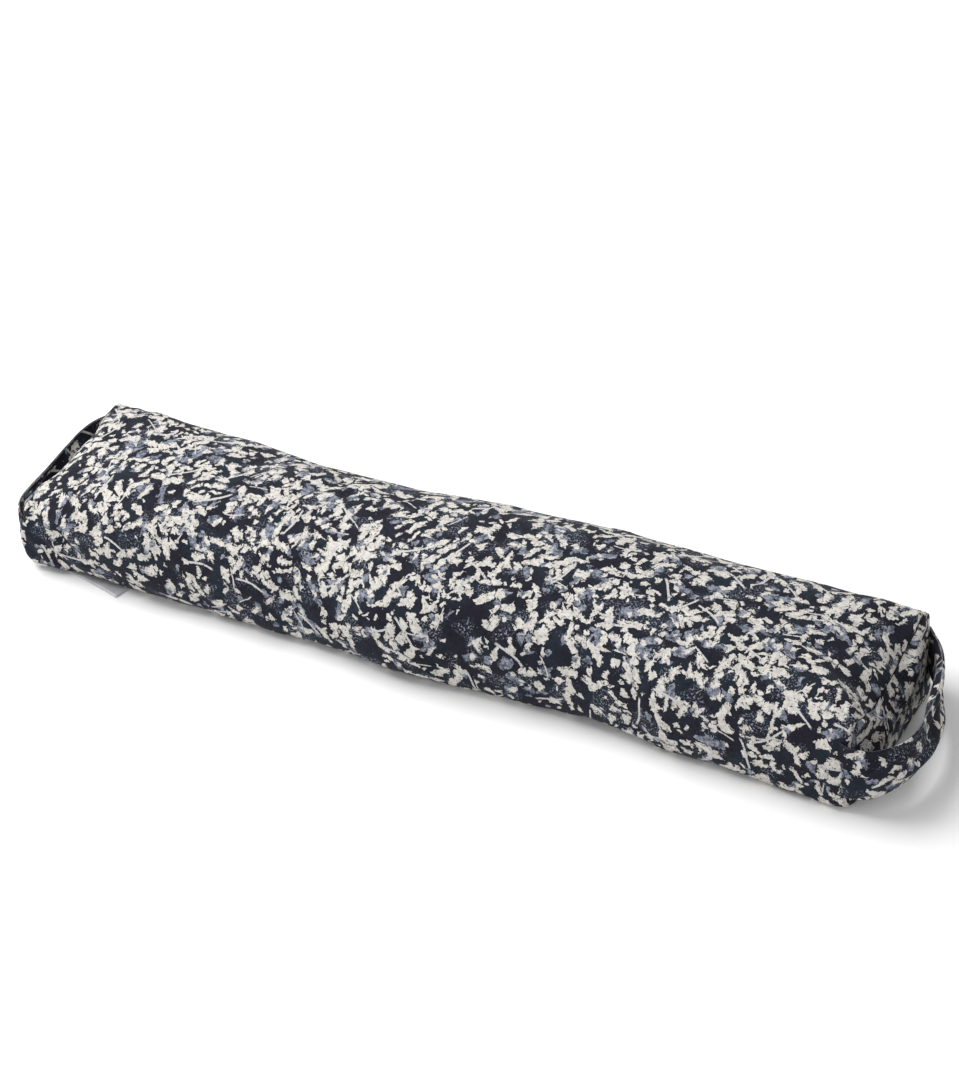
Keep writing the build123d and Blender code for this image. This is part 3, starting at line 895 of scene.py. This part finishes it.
def printed_cotton(name, fullness):
    """Woven cotton with a dense print of pale leaves and thin stems on a navy ground."""
    paint = Paint(name, 0.82, Sheen_Weight=0.04, Sheen_Roughness=0.4, Specular_IOR_Level=0.15)
    cloth = paint.add("UVMap", uv_map="cloth").outputs[0]

    def drift(size, amount, detail):
        """A noisy shift of the pattern: noise of that size, moved by up to half that amount."""
        cloud = paint.noise(cloth, size, detail, 0.6, colour=True)
        return paint.vector("SCALE", paint.vector("SUBTRACT", cloud, (0.5, 0.5, 0.5)), scale=amount)

    bent = paint.vector("ADD", cloth, drift(0.011, 0.0070, 1))
    torn = paint.vector("ADD", drift(0.0036, 0.0052, 2), drift(0.0014, 0.0022, 1))
    where = paint.vector("ADD", bent, torn)

    stain = paint.noise(cloth, 0.030, 4, 0.6)
    grain = paint.noise(cloth, 0.004, 3, 0.7)
    ground = paint.mix(paint.ramp(stain, 0.42, 0.62), NAVY, TEAL)
    ground = paint.mix(paint.ramp(grain, 0.50, 0.72, 0.0, 0.8), ground, INK)

    shade, _ = leaves(paint, where, *SHADE_LAYER)
    wash = paint.mix(paint.ramp(grain, 0.35, 0.65), MID_BLUE, PALE_BLUE)
    colour = paint.mix(shade, ground, wash)
    patch = paint.ramp(paint.noise(cloth, 0.026, 1, 0.5), 0.52, 0.62)
    specks = paint.ramp(paint.noise(cloth, 0.0016, 2, 0.7), 0.53, 0.60)
    colour = paint.mix(paint.math("MULTIPLY", patch, specks), colour, wash)

    tone = paint.mix(paint.ramp(grain, 0.36, 0.62), SAND, CREAM)
    for cell, length, width, spray, spread, fill, shift in LEAF_LAYERS:
        # a fullness under 1 thins the pale leaves, which darkens the cloth: painted shade on the
        # loops
        mask, tint = leaves(paint, where, cell, length, width, spray, spread, fill * fullness, shift)
        leaf_colour = paint.mix(paint.math("GREATER_THAN", tint, 0.90), tone, wash)
        colour = paint.mix(mask, colour, leaf_colour)
    sway = paint.vector("ADD", drift(0.020, 0.0030, 0), drift(0.0014, 0.0007, 0))
    nearly = paint.vector("ADD", cloth, sway)
    for layer in STEM_LAYERS:
        colour = paint.mix(stems(paint, nearly, *layer), colour, STEM)
    pits = paint.ramp(paint.noise(cloth, 0.0024, 2, 0.6), 0.60, 0.66, 0.0, 0.85)
    colour = paint.mix(pits, colour, ground)
    elsewhere = paint.vector("ADD", cloth, (0.4, 0.2, 0.0))
    flecks = paint.ramp(paint.noise(elsewhere, 0.0017, 2, 0.6), 0.71, 0.74)
    colour = paint.mix(paint.math("MULTIPLY", flecks, 0.7), colour, tone)
    paint.to_shader("Base Color", colour)

    threads = weave(paint, cloth, 0.0009)
    fuzz = paint.noise(cloth, 0.0006, 2, 0.6)
    height = paint.math("ADD", paint.math("MULTIPLY", threads, 0.35), fuzz)
    paint.bump(height, 0.00022, 0.5)
    paint.to_shader("Roughness", paint.ramp(grain, 0.3, 0.7, 0.76, 0.90))
    return paint.material


def plain_cloth(name, base, dark, pitch, thickness):
    """A plain woven or felted cloth in one colour, a little uneven."""
    paint = Paint(name, 0.9, Sheen_Weight=0.15)
    where = paint.place()
    patch = paint.noise(where, 0.020, 3, 0.6)
    paint.to_shader("Base Color", paint.mix(paint.ramp(patch, 0.35, 0.7), base, dark))
    threads = weave(paint, where, pitch)
    fuzz = paint.noise(where, pitch, 3, 0.7)
    paint.bump(paint.math("ADD", paint.math("MULTIPLY", threads, 0.4), fuzz), thickness, 0.6)
    paint.to_shader("Roughness", paint.ramp(fuzz, 0.3, 0.7, 0.82, 0.95))
    return paint.material


def moulded(name, base, dark, roughness, metallic):
    """Moulded nylon or cast brass, slightly worn, with an uneven gloss."""
    paint = Paint(name, roughness, Metallic=metallic)
    where = paint.place()
    wear = paint.noise(where, 0.0016, 4, 0.65)
    paint.to_shader("Base Color", paint.mix(paint.ramp(wear, 0.45, 0.7), base, dark))
    paint.to_shader("Roughness", paint.ramp(wear, 0.3, 0.7, roughness * 0.8, roughness * 1.3))
    paint.bump(wear, 0.00005, 0.5)
    return paint.material


def satin_label():
    """Blank satin ribbon, woven with fine ribs."""
    paint = Paint("label_satin", 0.45, Sheen_Weight=0.2)
    where = paint.place()
    u, v = paint.split(where)
    ribs = paint.math("SINE", paint.math("MULTIPLY", u, 2 * math.pi / 0.0006))
    soil = paint.noise(where, 0.012, 3, 0.6)
    tone = paint.mix(paint.ramp(soil, 0.35, 0.7), (0.56, 0.56, 0.58, 1), (0.47, 0.47, 0.50, 1))
    paint.to_shader("Base Color", tone)
    paint.bump(ribs, 0.00005, 0.5)
    paint.to_shader("Roughness", paint.ramp(soil, 0.3, 0.7, 0.40, 0.55))
    return paint.material


def pale_floor():
    paint = Paint("floor", 0.9)
    where = paint.place()
    cloud = paint.noise(where, 0.4, 2, 0.5)
    paint.to_shader("Base Color", paint.mix(cloud, (0.90, 0.90, 0.90, 1), (0.93, 0.93, 0.93, 1)))
    return paint.material


printed = printed_cotton("printed_cotton", 1.0)
# painted shade: the loops get a thinner print of pale leaves, so they read darker than the cover
printed_loop_painted_shade = printed_cotton("printed_cotton_loop_painted_shade", 0.55)
# painted shade: the face of each loop that looks at the cushion gets a still thinner, darker print
printed_inside_painted_shade = printed_cotton("printed_cotton_inside_painted_shade", 0.30)
zip_tape = plain_cloth(
    "zip_tape", (0.016, 0.018, 0.030, 1), (0.010, 0.011, 0.018, 1), 0.0007, 0.0001)
liner_cloth = plain_cloth(
    "liner_cotton", (0.030, 0.031, 0.038, 1), (0.022, 0.023, 0.029, 1), 0.0008, 0.0001)
batting_felt = plain_cloth(
    "cotton_batting", (0.80, 0.77, 0.69, 1), (0.70, 0.66, 0.58, 1), 0.0030, 0.0008)
thread_navy = plain_cloth(
    "thread", (0.022, 0.024, 0.040, 1), (0.014, 0.015, 0.026, 1), 0.0003, 0.00005)
coil_nylon = moulded("zip_coil", (0.020, 0.022, 0.036, 1), (0.012, 0.013, 0.020, 1), 0.42, 0.0)
brass = moulded("zip_metal", (0.62, 0.44, 0.20, 1), (0.40, 0.27, 0.12, 1), 0.34, 1.0)
satin = satin_label()


def finished(piece, body, material, node):
    """Gives a piece its material in one slot and, if one is named, its body, and hides its CAD node.
    """
    piece.data.materials.clear()
    piece.data.materials.append(material)
    if body:
        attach(piece, body)
    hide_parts(node)


# ---- the cushion ----
rings, end_count = cover_skin()
skin_points = [Vector(p) for p in rings.reshape(-1, 3)]
skin = BVHTree.FromPolygons(skin_points, capped_grid(len(rings), COLUMNS))
wrap = subdivided(wrap_piece("cover_wrap", rings[end_count:len(rings) - end_count]))
finished(wrap, "cushion", printed, "cover_wrap_panel")
for side, word in ((-1, "left"), (1, "right")):
    panel_rings = rings[end_count::-1] if side < 0 else rings[len(rings) - 1 - end_count:]
    panel = subdivided(end_piece("cover_end_" + word, panel_rings, side))
    finished(panel, "cushion", printed, "cover_end_panel_" + word)

# ---- the loops ----
loops = (("right", 1, RIGHT_ROUTE, 0.58, 0.0075, 0.0), ("left", -1, LEFT_ROUTE, 0.5, 0.001, 0.013))
for word, side, shares, *crumple in loops:
    node = "handle_strap_" + word
    strap_low, strap_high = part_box(node)
    route = route_of(node, shares)
    band = strap_band("loop_" + word, side, route, strap_low.z, strap_high.z, *crumple)
    strap = subdivided(band)
    # painted shade: the loop takes the darker, thinned copy of the print
    finished(strap, None, printed_loop_painted_shade, node)
    # painted shade: the inner face of the loop takes the darkest copy of the print
    strap.data.materials.append(printed_inside_painted_shade)
    strap.data.polygons.foreach_set("material_index", inner_faces(strap))
    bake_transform(strap)
    ends_low, ends_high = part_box("handle_sewn_ends_" + word)
    tabs = sewn_tabs("loop_ends_" + word, side, ends_low.z, ends_high.z, skin)
    finished(tabs, "cushion", liner_cloth, "handle_sewn_ends_" + word)

# ---- the zip ----
for word, towards in (("upper", -1), ("lower", 1)):
    coil = coil_piece("zip_coil_" + word, "zipper_coil_" + word, towards)
    finished(coil, "cushion", coil_nylon, "zipper_coil_" + word)
stitches = stitch_rows("zip_stitches", "zipper_stitching")
finished(stitches, "cushion", thread_navy, "zipper_stitching")

kept_nodes = {
    "zipper_tape_upper": zip_tape,
    "zipper_tape_lower": zip_tape,
    "zipper_top_stops": brass,
    "zipper_bottom_stop": brass,
    "zipper_slider": brass,
    "zipper_pull": brass,
}
for node, material in kept_nodes.items():
    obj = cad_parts[node]
    for slot in obj.material_slots:
        slot.material = material
    if not obj.material_slots:
        obj.data.materials.append(material)


# ---- the care label ----
def label_piece(name):
    """A blank ribbon label, flat under the cushion, its free edge lifting off the floor."""
    count_u, count_v = 25, 15
    top = []
    for u in np.linspace(-0.5, 0.5, count_u):
        for v in np.linspace(-0.5, 0.5, count_v):
            x = u * LABEL_SIZE[0]
            y = v * LABEL_SIZE[1]
            free = max(0.0, 0.1 - v) / 0.6
            z = FLOOR_GAP + LABEL_LIFT * free**2 * (1 + 0.5 * math.sin(5 * u + 1))
            px = LABEL_CENTRE.x + x * math.cos(LABEL_TURN) - y * math.sin(LABEL_TURN)
            py = LABEL_CENTRE.y + x * math.sin(LABEL_TURN) + y * math.cos(LABEL_TURN)
            top.append((px, py, z))
    faces, _ = grid_faces(count_u, count_v, False)
    sheet = make_mesh(name, top, faces)
    return with_modifier(sheet, "SOLIDIFY", thickness=LABEL_THICK, offset=0)


label = label_piece("care_label_sheet")
finished(label, "cushion", satin, "care_label")

# ---- inside the cover ----
LINER_INSET = 0.0036
BATTING_INSET = 0.0052
PAD_INSET = 0.0150
LINER_DEPTH = 0.0018  # the least depth of a layer behind the cover's folds
BATTING_DEPTH = 0.0032
INNER_GRID = {"stations": 48, "roll_rows": 6}
PAD_GRID = {"stations": 40, "roll_rows": 5}
PAD_SHARE = 0.98  # of its layer's height; the rest is the gap to the next pad
PAD_DENT = 0.04
liner_rows = behind_skin(uneven(wrap_grid(LINER_INSET, **INNER_GRID)), LINER_DEPTH, skin)
liner = wrap_piece("liner_wrap_cloth", liner_rows, with_slot=False)
finished(liner, "cushion", liner_cloth, "liner_wrap")
for side, word in ((-1, "left"), (1, "right")):
    panel_rings = uneven(end_rings(side, LINER_INSET, COARSE_END_ROWS))
    panel_rings = behind_skin(panel_rings, LINER_DEPTH, skin)
    panel = end_piece("liner_end_" + word + "_cloth", panel_rings, side)
    finished(panel, "cushion", liner_cloth, "liner_end_" + word)

batting_rows = behind_skin(uneven(wrap_grid(BATTING_INSET, **INNER_GRID)), BATTING_DEPTH, skin)
batting = wrap_piece("batting_wrap_felt", batting_rows, with_slot=False)
finished(batting, "cushion", batting_felt, "batting_wrap")

pad_rings = closed_rings(PAD_INSET, COARSE_END_ROWS, **PAD_GRID)
filling = uneven(pad_rings.reshape(-1, 3))
height = height_at(filling[:, 0] / FACE_X) - 2 * PAD_INSET
level = (filling[:, 2] - PAD_INSET) / height
layer = height / 3
for number, word in enumerate(("lower", "middle", "upper")):
    points = filling.copy()
    points[:, 2] = PAD_INSET + layer * (number + (1 - PAD_SHARE) / 2 + PAD_SHARE * level)
    dents = soft_noise(points, 0.07, 21 + number)
    points[:, 2] += layer * PAD_DENT * dents * level * (1 - level)
    pad = make_mesh("pad_" + word, points, capped_grid(len(pad_rings), COLUMNS))
    finished(pad, "cushion", batting_felt, "fill_pad_" + word)

# ---- floor, light and camera ----
FLOOR_HALF = 4.0
STUDIO_STRENGTH = 0.62
floor_corners = [(FLOOR_HALF * a, FLOOR_HALF * b, 0) for a, b in ((-1, -1), (1, -1), (1, 1), (-1, 1))]
floor = make_mesh("floor", floor_corners, [(0, 1, 2, 3)])
floor.data.materials.append(pale_floor())

world = bpy.data.worlds.new("studio")
world.use_nodes = True
sky = world.node_tree.nodes["Background"].inputs
sky["Color"].default_value = (1.0, 1.0, 1.0, 1)
sky["Strength"].default_value = STUDIO_STRENGTH
bpy.context.scene.world = world
bpy.context.scene.view_settings.view_transform = "Standard"


def soft_light(name, place, size, power):
    """A square soft box that shines at the middle of the cushion."""
    lamp = bpy.data.lights.new(name, "AREA")
    lamp.shape = "SQUARE"
    lamp.size = size
    lamp.energy = power
    obj = bpy.data.objects.new(name, lamp)
    obj.location = place
    obj.rotation_euler = (Vector((0, 0, 0.04)) - Vector(place)).to_track_quat("-Z", "Y").to_euler()
    bpy.context.scene.collection.objects.link(obj)


soft_light("key", (-1.4, -0.1, 2.1), 1.6, 62)
soft_light("fill", (-0.6, -2.2, 1.2), 1.6, 7)

CAMERA_AZIMUTH = math.radians(31.98)
CAMERA_ELEVATION = math.radians(35.53)
CAMERA_ROLL = math.radians(-5.24)
CAMERA_DISTANCE = 1.650
CAMERA_TARGET = Vector((0.002, 0.051, 0.0446))
CAMERA_LENS = 70.9

back = Vector((
    math.sin(CAMERA_AZIMUTH) * math.cos(CAMERA_ELEVATION),
    -math.cos(CAMERA_AZIMUTH) * math.cos(CAMERA_ELEVATION),
    math.sin(CAMERA_ELEVATION),
))
level_right = (-back).cross(Vector((0, 0, 1))).normalized()
level_up = level_right.cross(-back)
right = level_right * math.cos(CAMERA_ROLL) + level_up * math.sin(CAMERA_ROLL)
up = level_up * math.cos(CAMERA_ROLL) - level_right * math.sin(CAMERA_ROLL)
camera_data = bpy.data.cameras.new("camera")
camera_data.lens = CAMERA_LENS
camera = bpy.data.objects.new("camera", camera_data)
bpy.context.scene.collection.objects.link(camera)
turn = Matrix((right, up, back)).transposed().to_4x4()
camera.matrix_world = Matrix.Translation(CAMERA_TARGET + back * CAMERA_DISTANCE) @ turn
bpy.context.scene.camera = camera
